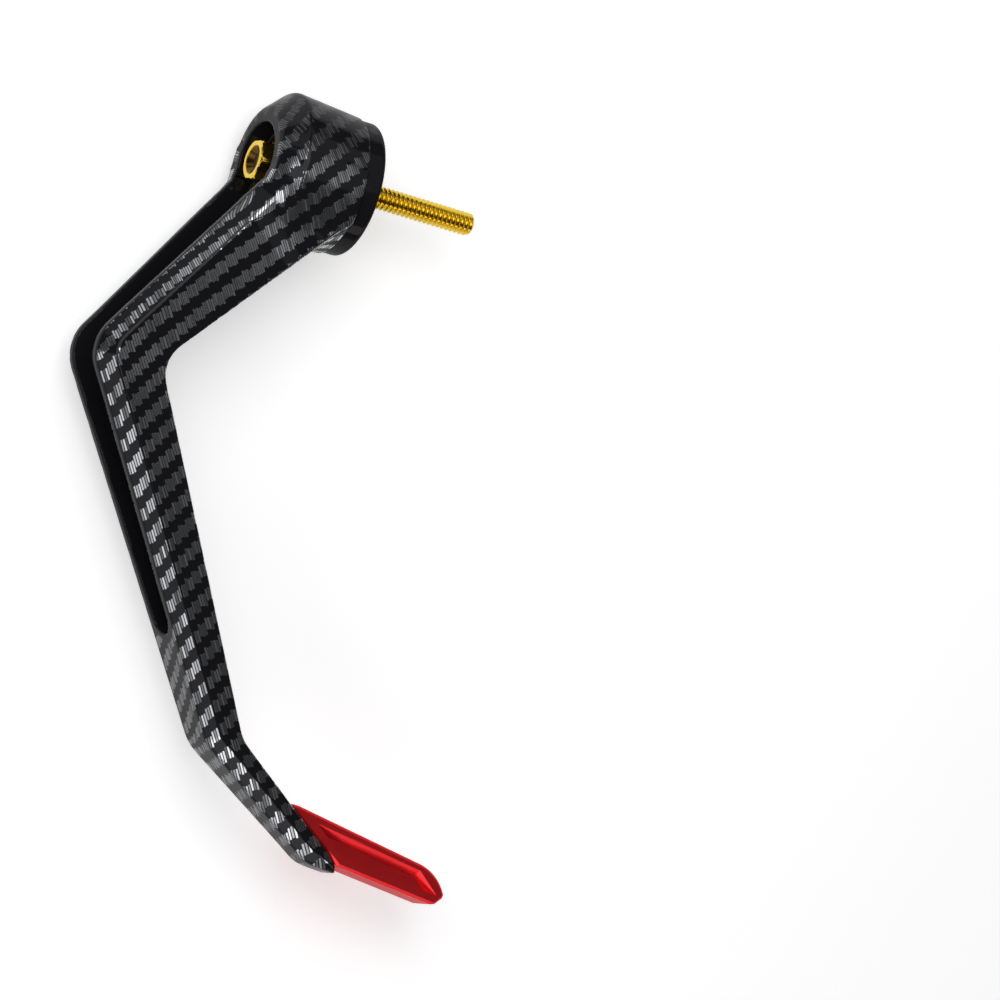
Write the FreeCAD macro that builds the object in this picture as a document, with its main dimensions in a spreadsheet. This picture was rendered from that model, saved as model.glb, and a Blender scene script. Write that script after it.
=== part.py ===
import FreeCAD, Part
import math
import os

import Sketcher

# Lever guard of a motorcycle, one of a pair, in millimetres.
# The origin is the middle of the spacer ring's bar-side face, on the bolt's axis.
# +X runs along the bolt into the handlebar, -Y is forward, +Z is up.

# how close two points or sizes count as the same
NEAR = 1e-4
# sine of the angle under which an edge counts as lying along the blade's front
ALONG_FRONT = 0.06
# cross-sections of the arm round each bend, less one
ARC_STEPS = 4
# where the arm's last bend starts and stops, as shares of its inner face past the wrist
KNUCKLE_INNER_FIRST = 0.62
KNUCKLE_INNER_LAST = 0.84

doc = FreeCAD.newDocument("lever_guard")
sheet = doc.addObject("Spreadsheet::Sheet", "Sheet")

SIZES = (
    # spacer ring between the guard and the handlebar's end
    ("ring_thickness", 5.0),
    ("ring_radius", 17.4),
    ("ring_edge_round", 1.2),
    # head of the guard: a short turned boss round the bolt
    ("head_depth", 28.5),
    ("head_bevel_depth", 22.6),
    ("head_lip", 0.5),
    ("head_swell", 1.6),
    ("recess_radius", 10.2),
    ("recess_land", 3.8),
    ("seat_depth", 22.8),
    ("bolt_hole_gap", 0.3),
    # plan of the arm's outer line and inner line, as reach forward and side step
    ("root_overlap", 0.6),
    ("root_reach", 2.0),
    ("bank_reach", 3.0),
    ("bank_inner_reach", 10.6),
    ("shoulder_reach", 5.0),
    ("neck_reach", 20.0),
    ("elbow_out", 63.7),
    ("elbow_reach", 57.1),
    ("elbow_round", 11.0),
    ("elbow_inner_out", 45.0),
    ("elbow_inner_reach", 56.9),
    ("elbow_inner_round", 9.0),
    ("wrist_out", 5.3),
    ("wrist_reach", 146.0),
    ("wrist_round", 12.0),
    ("wrist_inner_in", 3.3),
    ("wrist_inner_reach", 142.8),
    ("wrist_inner_round", 10.0),
    ("knuckle_in", 30.2),
    ("knuckle_reach", 168.0),
    ("knuckle_round", 10.0),
    ("end_in", 38.6),
    ("end_reach", 168.6),
    ("end_inner_in", 36.9),
    ("end_inner_reach", 165.8),
    # half height of the outer face and the leg of the bevel beside it
    ("shoulder_rim", 12.6),
    ("neck_rim", 10.95),
    ("neck_bevel", 4.2),
    ("elbow_rim", 8.7),
    ("elbow_bevel", 4.1),
    ("wrist_rim", 6.0),
    ("wrist_bevel", 3.3),
    ("knuckle_rim", 3.9),
    ("knuckle_bevel", 3.0),
    ("end_rim", 4.1),
    ("end_bevel", 1.4),
    # channel along the outer face
    ("channel_wall", 2.4),
    ("channel_depth", 6.5),
    ("channel_floor_round", 2.0),
    ("channel_end_share", 0.68),
    # mounting bolt: plain shank in the guard, threaded end beyond the ring, flanged hexagon head
    ("bolt_shank_radius", 3.2),
    ("bolt_radius", 3.0),
    ("bolt_reach", 33.2),
    ("bolt_tip_chamfer", 0.8),
    ("bolt_head_height", 6.6),
    ("bolt_flange_radius", 7.1),
    ("bolt_flange_height", 1.3),
    ("bolt_flange_top_radius", 5.6),
    ("bolt_flange_slope", 0.7),
    ("hex_flats", 10.0),
    ("hex_chamfer_share", 0.95),
    ("hex_chamfer_slope", 0.577),
    ("hex_cutter_share", 1.2),
    ("dish_radius", 3.9),
    ("dish_floor_radius", 2.6),
    ("dish_depth", 1.6),
    # metal blade at the free end: its corners are given past and ahead of the joint's far end
    ("blade_half_height", 6.0),
    ("blade_root_share", 0.52),
    ("blade_toe_share", 1.04),
    ("blade_back_past", -13.7),
    ("blade_back_ahead", -11.3),
    ("blade_tip_back_past", 22.8),
    ("blade_tip_back_ahead", -5.5),
    ("blade_tip_past", 31.7),
    ("blade_tip_ahead", 1.0),
    ("blade_bow_past", 28.3),
    ("blade_bow_ahead", -3.2),
    ("blade_front_past", 29.3),
    ("blade_front_ahead", 3.8),
    ("blade_edge_chamfer", 0.6),
    ("blade_front_chamfer", 0.7),
    ("pocket_depth", 1.9),
    ("pocket_slope", 1.7),
    ("pocket_back_past", -4.5),
    ("pocket_back_ahead", -6.1),
    ("pocket_far_past", 22.7),
    ("pocket_far_ahead", -2.17),
    ("pocket_end_past", 26.5),
    ("pocket_end_ahead", 0.97),
    ("pocket_near_past", 1.7),
    ("pocket_near_ahead", -1.6),
    # two screws that hold the blade from its hand side
    ("screw_radius", 1.5),
    ("screw_hole_gap", 0.15),
    ("screw_thread_gap", 0.02),
    ("screw_head_radius", 2.75),
    ("screw_head_gap", 0.2),
    ("screw_head_height", 2.4),
    ("screw_socket_flats", 2.5),
    ("screw_socket_depth", 1.3),
    ("screw_grip", 1.6),
    ("screw_bite", 3.0),
    ("screw_one_share", 0.76),
    ("screw_two_share", 0.92),
)

for row, (alias, value) in enumerate(SIZES, start=1):
    sheet.set("A%d" % row, alias)
    sheet.set("B%d" % row, str(value))
    sheet.setAlias("B%d" % row, alias)
doc.recompute()


def size(alias):
    """The number in the sheet's cell of this name."""
    return float(sheet.get(alias))


def plane_of(body, role):
    """The origin plane of a body that has this role."""
    for feature in body.Origin.OriginFeatures:
        if feature.Role == role:
            return feature
    raise ValueError(role)


def new_body(label):
    body = doc.addObject("PartDesign::Body", label)
    body.Label = label
    return body


def sketch_on(body, role, name, offset=None):
    """A sketch on one of the body's own planes, moved along its normal by an expression."""
    sketch = body.newObject("Sketcher::SketchObject", name)
    sketch.AttachmentSupport = [(plane_of(body, role), "")]
    sketch.MapMode = "FlatFace"
    if offset:
        sketch.setExpression("AttachmentOffset.Base.z", offset)
    doc.recompute()
    return sketch


def number(sketch, expression):
    """The value of an expression over the sheet."""
    return float(getattr(sketch.evalExpression(expression), "Value", sketch.evalExpression(expression)))


def hold(sketch, geometry, end, x_text, y_text):
    """Ties one point of a sketch to two expressions over the sheet."""
    for kind, text in (("DistanceX", x_text), ("DistanceY", y_text)):
        value = number(sketch, text)
        index = sketch.addConstraint(Sketcher.Constraint(kind, -1, 1, geometry, end, value))
        sketch.setExpression("Constraints[%d]" % index, text)


def polygon(sketch, corners, bulge=None):
    """A closed outline through corners given as pairs of expressions.

    bulge maps a corner's number to a pair of expressions: the side that leaves that corner
    is an arc through the point they give.
    """
    bulge = bulge or {}
    points = [FreeCAD.Vector(number(sketch, x), number(sketch, y), 0) for x, y in corners]
    sides = []
    for i, start in enumerate(points):
        finish = points[(i + 1) % len(points)]
        if i in bulge:
            middle = FreeCAD.Vector(number(sketch, bulge[i][0]), number(sketch, bulge[i][1]), 0)
            arc = Part.Arc(start, middle, finish)
            side = sketch.addGeometry(arc, False)
            forward = (middle - start).cross(finish - middle).z > 0
            sides.append((side, 1 if forward else 2, 2 if forward else 1))
        else:
            side = sketch.addGeometry(Part.LineSegment(start, finish), False)
            sides.append((side, 1, 2))
    for i, (side, first, last) in enumerate(sides):
        after, after_first, after_last = sides[(i + 1) % len(sides)]
        sketch.addConstraint(Sketcher.Constraint("Coincident", side, last, after, after_first))
    for i, (side, first, last) in enumerate(sides):
        hold(sketch, side, first, *corners[i])
        if i in bulge:
            middle = FreeCAD.Vector(number(sketch, bulge[i][0]), number(sketch, bulge[i][1]), 0)
            mark = sketch.addGeometry(Part.Point(middle), True)
            hold(sketch, mark, 1, *bulge[i])
            sketch.addConstraint(Sketcher.Constraint("PointOnObject", mark, 1, side))
    doc.recompute()


def turned(body, name, corners, kind="PartDesign::Revolution"):
    """A profile of (along X, radius) corners turned about the X axis."""
    sketch = sketch_on(body, "XY_Plane", name + "_profile")
    polygon(sketch, corners)
    feature = body.newObject(kind, name)
    feature.Profile = sketch
    feature.ReferenceAxis = (sketch, ["H_Axis"])
    feature.Angle = 360.0
    doc.recompute()
    return feature


def padded(body, name, sketch, length, kind="PartDesign::Pad", reverse=False, middle=False):
    feature = body.newObject(kind, name)
    feature.Profile = sketch
    feature.setExpression("Length", length)
    feature.Reversed = reverse
    feature.Midplane = middle
    doc.recompute()
    return feature


def on_circle(edge, along, radius):
    """Whether an edge is a circle of this radius about the X axis, this far along it."""
    curve = edge.Curve
    if not isinstance(curve, Part.Circle):
        return False
    return abs(curve.Center.x - along) < NEAR and abs(curve.Radius - radius) < NEAR


def rounded(body, name, radius, wanted, kind="PartDesign::Fillet"):
    """A fillet or chamfer on the body's edges that pass the test."""
    tip = body.Tip
    names = ["Edge%d" % i for i, edge in enumerate(tip.Shape.Edges, start=1) if wanted(edge)]
    feature = body.newObject(kind, name)
    feature.Base = (tip, names)
    feature.setExpression("Radius" if kind.endswith("Fillet") else "Size", radius)
    doc.recompute()
    return feature


def hexagon(flats):
    """Corner expressions of a hexagon across flats given as an expression."""
    half = "(%s) / 2" % flats
    side = "(%s) / sqrt(12)" % flats
    tip = "(%s) / sqrt(3)" % flats
    return [
        (half, side),
        ("0 * " + half, tip),
        ("-" + half, side),
        ("-" + half, "-" + side),
        ("0 * " + half, "-" + tip),
        (half, "-" + side),
    ]


BOLT_HOLE = "Sheet.bolt_shank_radius + Sheet.bolt_hole_gap"

# spacer ring
ring = new_body("bar_end_ring")
turned(ring, "ring_blank", [
    ("-Sheet.ring_thickness", BOLT_HOLE),
    ("0 * Sheet.ring_thickness", BOLT_HOLE),
    ("0 * Sheet.ring_thickness", "Sheet.ring_radius"),
    ("-Sheet.ring_thickness", "Sheet.ring_radius"),
])
rounded(ring, "ring_round", "Sheet.ring_edge_round", lambda edge: on_circle(edge, 0, size("ring_radius")))

# mounting bolt
bolt = new_body("mounting_bolt")
hex_sketch = sketch_on(bolt, "YZ_Plane", "hex_outline", "-Sheet.seat_depth - Sheet.bolt_head_height")
polygon(hex_sketch, hexagon("Sheet.hex_flats"))
padded(bolt, "hex_head", hex_sketch, "Sheet.bolt_head_height")
flange_top = "-Sheet.seat_depth - Sheet.bolt_flange_height - Sheet.bolt_flange_slope"
turned(bolt, "flange_and_shank", [
    ("-Sheet.seat_depth - Sheet.bolt_head_height / 2", "0 * Sheet.bolt_radius"),
    ("Sheet.bolt_reach", "0 * Sheet.bolt_radius"),
    ("Sheet.bolt_reach", "Sheet.bolt_radius - Sheet.bolt_tip_chamfer"),
    ("Sheet.bolt_reach - Sheet.bolt_tip_chamfer", "Sheet.bolt_radius"),
    ("0 * Sheet.bolt_reach", "Sheet.bolt_radius"),
    ("0 * Sheet.bolt_reach", "Sheet.bolt_shank_radius"),
    ("-Sheet.seat_depth", "Sheet.bolt_shank_radius"),
    ("-Sheet.seat_depth", "Sheet.bolt_flange_radius"),
    ("-Sheet.seat_depth - Sheet.bolt_flange_height", "Sheet.bolt_flange_radius"),
    (flange_top, "Sheet.bolt_flange_top_radius"),
    (flange_top, "Sheet.bolt_radius / 2"),
    ("-Sheet.seat_depth - Sheet.bolt_head_height / 2", "Sheet.bolt_radius / 2"),
])
bolt_face = "-Sheet.seat_depth - Sheet.bolt_head_height"
chamfer_radius = "Sheet.hex_flats / 2 * Sheet.hex_chamfer_share"
cutter_radius = "Sheet.hex_flats / 2 * Sheet.hex_cutter_share"
chamfer_fall = "(%s - %s) * Sheet.hex_chamfer_slope" % (cutter_radius, chamfer_radius)
turned(bolt, "hex_corner_chamfer", [
    (bolt_face, chamfer_radius),
    (bolt_face + " + " + chamfer_fall, cutter_radius),
    (bolt_face, cutter_radius),
], "PartDesign::Groove")
turned(bolt, "head_dish", [
    (bolt_face, "0 * Sheet.dish_radius"),
    (bolt_face, "Sheet.dish_radius"),
    (bolt_face + " + Sheet.dish_depth", "Sheet.dish_floor_radius"),
    (bolt_face + " + Sheet.dish_depth", "0 * Sheet.dish_radius"),
], "PartDesign::Groove")

# head of the guard
head = new_body("head_boss")
turned(head, "head_blank", [
    ("-Sheet.head_depth", "0 * Sheet.head_depth"),
    ("-Sheet.ring_thickness", "0 * Sheet.head_depth"),
    ("-Sheet.ring_thickness", "Sheet.ring_radius + Sheet.head_lip"),
    ("-Sheet.head_bevel_depth", "Sheet.ring_radius + Sheet.head_lip + Sheet.head_swell"),
    ("-Sheet.head_depth", "Sheet.recess_radius + Sheet.recess_land"),
])


class Corner:
    """A corner of a line in plan, rounded by an arc that touches both sides."""

    def __init__(self, before, here, after, radius):
        to_before = (before - here).normalize()
        to_after = (after - here).normalize()
        half_angle = to_before.getAngle(to_after) / 2
        run = radius / math.tan(half_angle)
        middle = (to_before + to_after).normalize()
        self.centre = here + middle * (radius / math.sin(half_angle))
        self.first = here + to_before * run
        self.last = here + to_after * run

    def at(self, share):
        """The point this share of the way round the arc."""
        spoke = self.first - self.centre
        final = self.last - self.centre
        angle = spoke.getAngle(final)
        turn = 1 if spoke.cross(final).z > 0 else -1
        rotation = FreeCAD.Rotation(FreeCAD.Vector(0, 0, turn), math.degrees(angle) * share)
        return self.centre + rotation.multVec(spoke)


class Rung:
    """A cross-section of the arm: its plan line from the outer face to the inner face."""

    def __init__(self, outer, inner, rim, bevel):
        self.outer = outer
        self.inner = inner
        self.rim = rim
        self.bevel = bevel

    def between(self, other, share):
        def mix(a, b):
            return a * (1 - share) + b * share
        return Rung(mix(self.outer, other.outer), mix(self.inner, other.inner),
                    mix(self.rim, other.rim), mix(self.bevel, other.bevel))

    def wire(self):
        """The bevelled outline of the arm's section."""
        inward = (self.inner - self.outer).normalize()
        crease = self.outer + inward * self.bevel
        tall = self.rim + self.bevel
        half = [(self.outer, self.rim), (crease, tall), (self.inner, tall)]
        ring_points = [FreeCAD.Vector(p.x, p.y, z) for p, z in half]
        ring_points += [FreeCAD.Vector(p.x, p.y, -z) for p, z in reversed(half)]
        return Part.makePolygon(ring_points + ring_points[:1])

    def channel_wire(self, wall, depth, floor_round):
        """The outline of the channel's cutter on this section."""
        inward = (self.inner - self.outer).normalize()
        wide = self.rim - wall
        mouth = self.outer - inward * depth
        side = self.outer + inward * (depth - floor_round)
        floor = self.outer + inward * depth
        half = [(mouth, wide), (side, wide), (floor, wide - floor_round)]
        ring_points = [FreeCAD.Vector(p.x, p.y, z) for p, z in half]
        ring_points += [FreeCAD.Vector(p.x, p.y, -z) for p, z in reversed(half)]
        return Part.makePolygon(ring_points + ring_points[:1])


def spot(side, reach):
    return FreeCAD.Vector(side, -reach, 0)


outer_line = [
    spot(-size("head_depth") + size("root_overlap"), -size("root_reach")),
    spot(-size("head_depth") + size("root_overlap"), size("bank_reach")),
    spot(-size("elbow_out"), size("elbow_reach")),
    spot(-size("wrist_out"), size("wrist_reach")),
    spot(size("knuckle_in"), size("knuckle_reach")),
    spot(size("end_in"), size("end_reach")),
]
inner_line = [
    spot(-size("ring_thickness") - size("root_overlap"), -size("root_reach")),
    spot(-size("ring_thickness") - size("root_overlap"), size("bank_inner_reach")),
    spot(-size("elbow_inner_out"), size("elbow_inner_reach")),
    spot(size("wrist_inner_in"), size("wrist_inner_reach")),
    spot(size("end_inner_in"), size("end_inner_reach")),
]
elbow_outer = Corner(outer_line[1], outer_line[2], outer_line[3], size("elbow_round"))
elbow_inner = Corner(inner_line[1], inner_line[2], inner_line[3], size("elbow_inner_round"))
wrist_outer = Corner(outer_line[2], outer_line[3], outer_line[4], size("wrist_round"))
wrist_inner = Corner(inner_line[2], inner_line[3], inner_line[4], size("wrist_inner_round"))
knuckle_outer = Corner(outer_line[3], outer_line[4], outer_line[5], size("knuckle_round"))


def bend(outer, inner, rim, bevel):
    """The rungs round one bend of the arm."""
    shares = [i / ARC_STEPS for i in range(ARC_STEPS + 1)]
    return [Rung(outer.at(s), inner.at(s), rim, bevel) for s in shares]


def across(line, reach):
    """Where the first sides of a plan line are this far forward."""
    first, corner, after = line[:3]
    if reach <= -corner.y:
        return FreeCAD.Vector(corner.x, -reach, 0)
    share = (reach + corner.y) / (corner.y - after.y)
    return corner + (after - corner) * share


def flare(share):
    """A rung between the head and the neck, where the arm's height eases into the head."""
    reach = size("shoulder_reach") + (size("neck_reach") - size("shoulder_reach")) * share
    rim = size("neck_rim") + (size("shoulder_rim") - size("neck_rim")) * (1 - share) ** 2
    return Rung(across(outer_line, reach), across(inner_line, reach), rim, size("neck_bevel"))


root = Rung(outer_line[0], inner_line[0], size("shoulder_rim"), size("neck_bevel"))
shoulder = [flare(step / ARC_STEPS) for step in range(ARC_STEPS + 1)]
elbow = bend(elbow_outer, elbow_inner, size("elbow_rim"), size("elbow_bevel"))
wrist = bend(wrist_outer, wrist_inner, size("wrist_rim"), size("wrist_bevel"))
end = Rung(outer_line[5], inner_line[4], size("end_rim"), size("end_bevel"))
knuckle = []
for step in range(ARC_STEPS + 1):
    share = step / ARC_STEPS
    along = KNUCKLE_INNER_FIRST + (KNUCKLE_INNER_LAST - KNUCKLE_INNER_FIRST) * share
    inner_spot = wrist[-1].inner * (1 - along) + end.inner * along
    outer_spot = knuckle_outer.at(share)
    knuckle.append(Rung(outer_spot, inner_spot, size("knuckle_rim"), size("knuckle_bevel")))


def loft(wires, ruled):
    return Part.makeLoft(wires, True, ruled)


def feature(name, shape):
    made = doc.addObject("Part::Feature", name)
    made.Shape = shape
    return made


limb = [
    feature("shoulder_root", loft([root.wire(), shoulder[0].wire()], True)),
    feature("shoulder_flare", loft([r.wire() for r in shoulder], False)),
    feature("upper_arm", loft([shoulder[-1].wire(), elbow[0].wire()], True)),
    feature("elbow_bend", loft([r.wire() for r in elbow], False)),
    feature("forearm", loft([elbow[-1].wire(), wrist[0].wire()], True)),
    feature("wrist_bend", loft([r.wire() for r in wrist], False)),
    feature("hand", loft([wrist[-1].wire(), knuckle[0].wire()], True)),
    feature("knuckle_bend", loft([r.wire() for r in knuckle], False)),
    feature("hand_end", loft([knuckle[-1].wire(), end.wire()], True)),
]
doc.recompute()

blank = doc.addObject("Part::MultiFuse", "arm_blank")
blank.Shapes = [head] + limb
doc.recompute()

# channel, recess and bolt hole
channel_end = elbow[-1].between(wrist[0], size("channel_end_share"))


def groove_wire(rung):
    return rung.channel_wire(size("channel_wall"), size("channel_depth"), size("channel_floor_round"))


end_inward = (channel_end.inner - channel_end.outer).normalize()
end_radius = channel_end.rim - size("channel_wall")
cutters = [
    feature("channel_shoulder", loft([groove_wire(r) for r in shoulder], False)),
    feature("channel_upper", loft([groove_wire(shoulder[-1]), groove_wire(elbow[0])], True)),
    feature("channel_bend", loft([groove_wire(r) for r in elbow], False)),
    feature("channel_forearm", loft([groove_wire(elbow[-1]), groove_wire(channel_end)], True)),
    feature("channel_end", Part.makeCylinder(
        end_radius, size("channel_depth") * 2,
        channel_end.outer - end_inward * size("channel_depth"), end_inward)),
]
ALONG_X = FreeCAD.Rotation(FreeCAD.Vector(0, 1, 0), 90)
recess = doc.addObject("Part::Cylinder", "recess")
recess.setExpression("Radius", "Sheet.recess_radius")
recess.setExpression("Height", "(Sheet.head_depth - Sheet.seat_depth) * 2")
recess.Placement = FreeCAD.Placement(FreeCAD.Vector(0, 0, 0), ALONG_X)
recess.setExpression("Placement.Base.x", "-Sheet.seat_depth - (Sheet.head_depth - Sheet.seat_depth) * 2")
bolt_hole = doc.addObject("Part::Cylinder", "bolt_hole")
bolt_hole.setExpression("Radius", BOLT_HOLE)
bolt_hole.setExpression("Height", "Sheet.head_depth")
bolt_hole.Placement = FreeCAD.Placement(FreeCAD.Vector(0, 0, 0), ALONG_X)
bolt_hole.setExpression("Placement.Base.x", "-Sheet.head_depth")
cutters += [recess, bolt_hole]
doc.recompute()

# blade: its root lies along the arm's inner face
blade = new_body("tip_blade")
blade_sketch = sketch_on(blade, "XY_Plane", "blade_outline")


def at(name):
    """The pair of expressions for a named corner of the blade or its pocket."""
    return ("Sheet.end_inner_in + Sheet.%s_past" % name, "-Sheet.end_inner_reach - Sheet.%s_ahead" % name)


def on_joint(share):
    """The pair of expressions for a point this share of the way along the arm's inner face."""
    along = "Sheet.wrist_inner_in + (Sheet.end_inner_in - Sheet.wrist_inner_in) * %s" % share
    reach = "-Sheet.wrist_inner_reach - (Sheet.end_inner_reach - Sheet.wrist_inner_reach) * %s" % share
    return (along, reach)


BLADE_BOW = 2
polygon(blade_sketch, [
    on_joint("Sheet.blade_root_share"),
    at("blade_back"),
    at("blade_tip_back"),
    at("blade_tip"),
    at("blade_front"),
    on_joint("Sheet.blade_toe_share"),
], {BLADE_BOW: at("blade_bow")})
padded(blade, "blade_plate", blade_sketch, "Sheet.blade_half_height * 2", middle=True)


def on_face(edge):
    """Whether an edge lies in the blade's top or bottom face."""
    return all(abs(abs(v.Point.z) - size("blade_half_height")) < NEAR for v in edge.Vertexes)


def on_front(edge):
    """Whether an edge of those faces runs from the toe to the front corner."""
    front = joint_to + spot(size("blade_front_past"), size("blade_front_ahead"))
    toe = joint_from + (joint_to - joint_from) * size("blade_toe_share")
    flat = [FreeCAD.Vector(v.Point.x, v.Point.y, 0) for v in edge.Vertexes]
    return on_face(edge) and all(min(p.distanceToPoint(front), p.distanceToPoint(toe)) < NEAR for p in flat)


def on_rest(edge):
    """Whether an edge of those faces is beside the back, the bow or the root."""
    front_line = spot(size("blade_front_past"), size("blade_front_ahead")).normalize()
    way = (edge.Vertexes[-1].Point - edge.Vertexes[0].Point).normalize()
    return on_face(edge) and front_line.cross(way).Length > ALONG_FRONT


joint_from = spot(size("wrist_inner_in"), size("wrist_inner_reach"))
joint_to = spot(size("end_inner_in"), size("end_inner_reach"))
rounded(blade, "blade_front_bevel", "Sheet.blade_front_chamfer", on_front, "PartDesign::Chamfer")
rounded(blade, "blade_edge_bevel", "Sheet.blade_edge_chamfer", on_rest, "PartDesign::Chamfer")
pocket_sketch = sketch_on(blade, "XY_Plane", "pocket_outline", "Sheet.blade_half_height")
pocket_corners = ("pocket_back", "pocket_far", "pocket_end", "pocket_near")
polygon(pocket_sketch, [at(name) for name in pocket_corners])
padded(blade, "blade_pocket", pocket_sketch, "Sheet.pocket_depth", "PartDesign::Pocket")


def on_slope(edge):
    """Whether an edge is the mouth of the pocket's back wall or tip wall."""
    walls = [joint_to + spot(size(name + "_past"), size(name + "_ahead")) for name in pocket_corners[:3]]
    flat = [FreeCAD.Vector(v.Point.x, v.Point.y, 0) for v in edge.Vertexes]
    return on_face(edge) and all(min(p.distanceToPoint(w) for w in walls) < NEAR for p in flat)


rounded(blade, "pocket_wall_slope", "Sheet.pocket_slope", on_slope, "PartDesign::Chamfer")

# screws: square to the joint, heads sunk in the blade's hand side
joint_way = (joint_to - joint_from).normalize()
into_arm = FreeCAD.Vector(joint_way.y, -joint_way.x, 0)
screw_turn = FreeCAD.Rotation(FreeCAD.Vector(1, 0, 0), into_arm)
screws = []
for label, share_alias in (("tip_screw_root", "screw_one_share"), ("tip_screw_toe", "screw_two_share")):
    screw = new_body(label)
    turned(screw, label + "_blank", [
        ("-Sheet.screw_grip - Sheet.screw_head_height", "0 * Sheet.screw_radius"),
        ("Sheet.screw_bite", "0 * Sheet.screw_radius"),
        ("Sheet.screw_bite", "Sheet.screw_radius"),
        ("-Sheet.screw_grip", "Sheet.screw_radius"),
        ("-Sheet.screw_grip", "Sheet.screw_head_radius"),
        ("-Sheet.screw_grip - Sheet.screw_head_height", "Sheet.screw_head_radius"),
    ])
    head_top = "-Sheet.screw_grip - Sheet.screw_head_height"
    socket_sketch = sketch_on(screw, "YZ_Plane", label + "_socket", head_top)
    polygon(socket_sketch, hexagon("Sheet.screw_socket_flats"))
    padded(screw, label + "_drive", socket_sketch, "Sheet.screw_socket_depth", "PartDesign::Pocket", True)
    middle = joint_from + (joint_to - joint_from) * size(share_alias)
    screw.Placement = FreeCAD.Placement(middle, screw_turn)
    screws.append((label, screw, middle))
doc.recompute()


def drill(name, middle, radius, first, length):
    """A round cutter along a screw's axis: first is its start, measured from the joint into the arm."""
    cutter = doc.addObject("Part::Cylinder", name)
    cutter.setExpression("Radius", radius)
    cutter.setExpression("Height", length)
    turn = FreeCAD.Rotation(FreeCAD.Vector(0, 0, 1), into_arm)
    cutter.Placement = FreeCAD.Placement(middle + into_arm * first, turn)
    return cutter


blade_cutters = []
for label, screw, middle in screws:
    cutters.append(drill(label + "_pilot", middle, "Sheet.screw_radius + Sheet.screw_thread_gap",
                         -size("screw_grip"), "Sheet.screw_grip + Sheet.screw_bite + Sheet.screw_hole_gap"))
    blade_cutters.append(drill(label + "_hole", middle, "Sheet.screw_radius + Sheet.screw_hole_gap",
                               -size("screw_grip") * 2, "Sheet.screw_grip * 3"))
    blade_cutters.append(drill(label + "_sink", middle, "Sheet.screw_head_radius + Sheet.screw_head_gap",
                               -size("screw_grip") - size("screw_head_height") * 4,
                               "Sheet.screw_head_height * 4"))
doc.recompute()

arm_cutter = doc.addObject("Part::MultiFuse", "arm_cutter")
arm_cutter.Shapes = cutters
arm = doc.addObject("Part::Cut", "guard_arm")
arm.Base = blank
arm.Tool = arm_cutter
arm.Label = "guard_arm"
blade_cutter = doc.addObject("Part::MultiFuse", "blade_cutter")
blade_cutter.Shapes = blade_cutters
tip = doc.addObject("Part::Cut", "tip_blade_drilled")
tip.Base = blade
tip.Tool = blade_cutter
blade.Label = "tip_blade_blank"
tip.Label = "tip_blade"
doc.recompute()

for made in doc.Objects:
    if "Invalid" in made.State or "Error" in made.State:
        raise RuntimeError("failed: " + made.Name)

NODES = [("guard_arm", arm), ("bar_end_ring", ring), ("mounting_bolt", bolt), ("tip_blade", tip)]
NODES += [(label, screw) for label, screw, middle in screws]
os.makedirs("parts", exist_ok=True)
for node, made in NODES:
    shape = made.Shape
    if shape.isNull() or not shape.isValid():
        raise RuntimeError("bad shape: " + node)
    print(node, "volume", round(shape.Volume, 1), "solids", len(shape.Solids), "faces", len(shape.Faces))
    shape.exportStep("parts/%s.step" % node)
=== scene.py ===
"""Looks of a motorcycle lever guard: film-covered arm, gold bolt, satin ring and red tip blade."""

import math

import bpy
import numpy as np
from mathutils import Matrix, Vector


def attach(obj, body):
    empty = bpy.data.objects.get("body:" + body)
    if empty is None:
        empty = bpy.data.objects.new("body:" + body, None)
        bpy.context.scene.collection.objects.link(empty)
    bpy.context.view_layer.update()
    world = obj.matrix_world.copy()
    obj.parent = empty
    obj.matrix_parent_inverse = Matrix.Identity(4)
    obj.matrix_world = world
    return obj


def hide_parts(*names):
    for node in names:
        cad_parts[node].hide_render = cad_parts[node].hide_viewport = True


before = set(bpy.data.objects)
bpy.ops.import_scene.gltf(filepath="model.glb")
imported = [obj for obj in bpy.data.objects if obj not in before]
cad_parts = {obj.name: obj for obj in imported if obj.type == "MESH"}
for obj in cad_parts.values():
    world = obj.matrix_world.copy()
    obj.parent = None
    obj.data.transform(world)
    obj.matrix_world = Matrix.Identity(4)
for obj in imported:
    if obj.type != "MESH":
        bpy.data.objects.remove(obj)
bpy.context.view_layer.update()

MM = 0.001
SQRT2 = math.sqrt(2.0)

# plan of the arm, in millimetres: (x, y) corners of its outer and inner faces
OUTER_ROOT = (-27.9, 2.0)
OUTER_BANK = (-27.9, -3.0)
OUTER_ELBOW = (-63.7, -57.1)
OUTER_WRIST = (-5.3, -146.0)
OUTER_KNUCKLE = (30.2, -168.0)
OUTER_END = (38.6, -168.6)
INNER_ROOT = (-5.6, 2.0)
INNER_BANK = (-5.6, -10.6)
INNER_ELBOW = (-45.0, -56.9)
INNER_WRIST = (3.3, -142.8)
INNER_END = (36.9, -165.8)
ELBOW_ROUND, ELBOW_INNER_ROUND = 11.0, 9.0
WRIST_ROUND, WRIST_INNER_ROUND = 12.0, 10.0
KNUCKLE_ROUND = 10.0
KNUCKLE_INNER = (0.62, 0.84)
SHOULDER_REACH, NECK_REACH = 5.0, 20.0

# half height of the outer face, and height of the bevel above it
SHOULDER_RIM = 12.6
NECK_RIM, NECK_BEVEL = 10.95, 4.2
ELBOW_RIM, ELBOW_BEVEL = 8.7, 4.1
WRIST_RIM, WRIST_BEVEL = 6.0, 3.3
KNUCKLE_RIM, KNUCKLE_BEVEL = 3.9, 3.0
END_RIM, END_BEVEL = 4.1, 1.4

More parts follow.
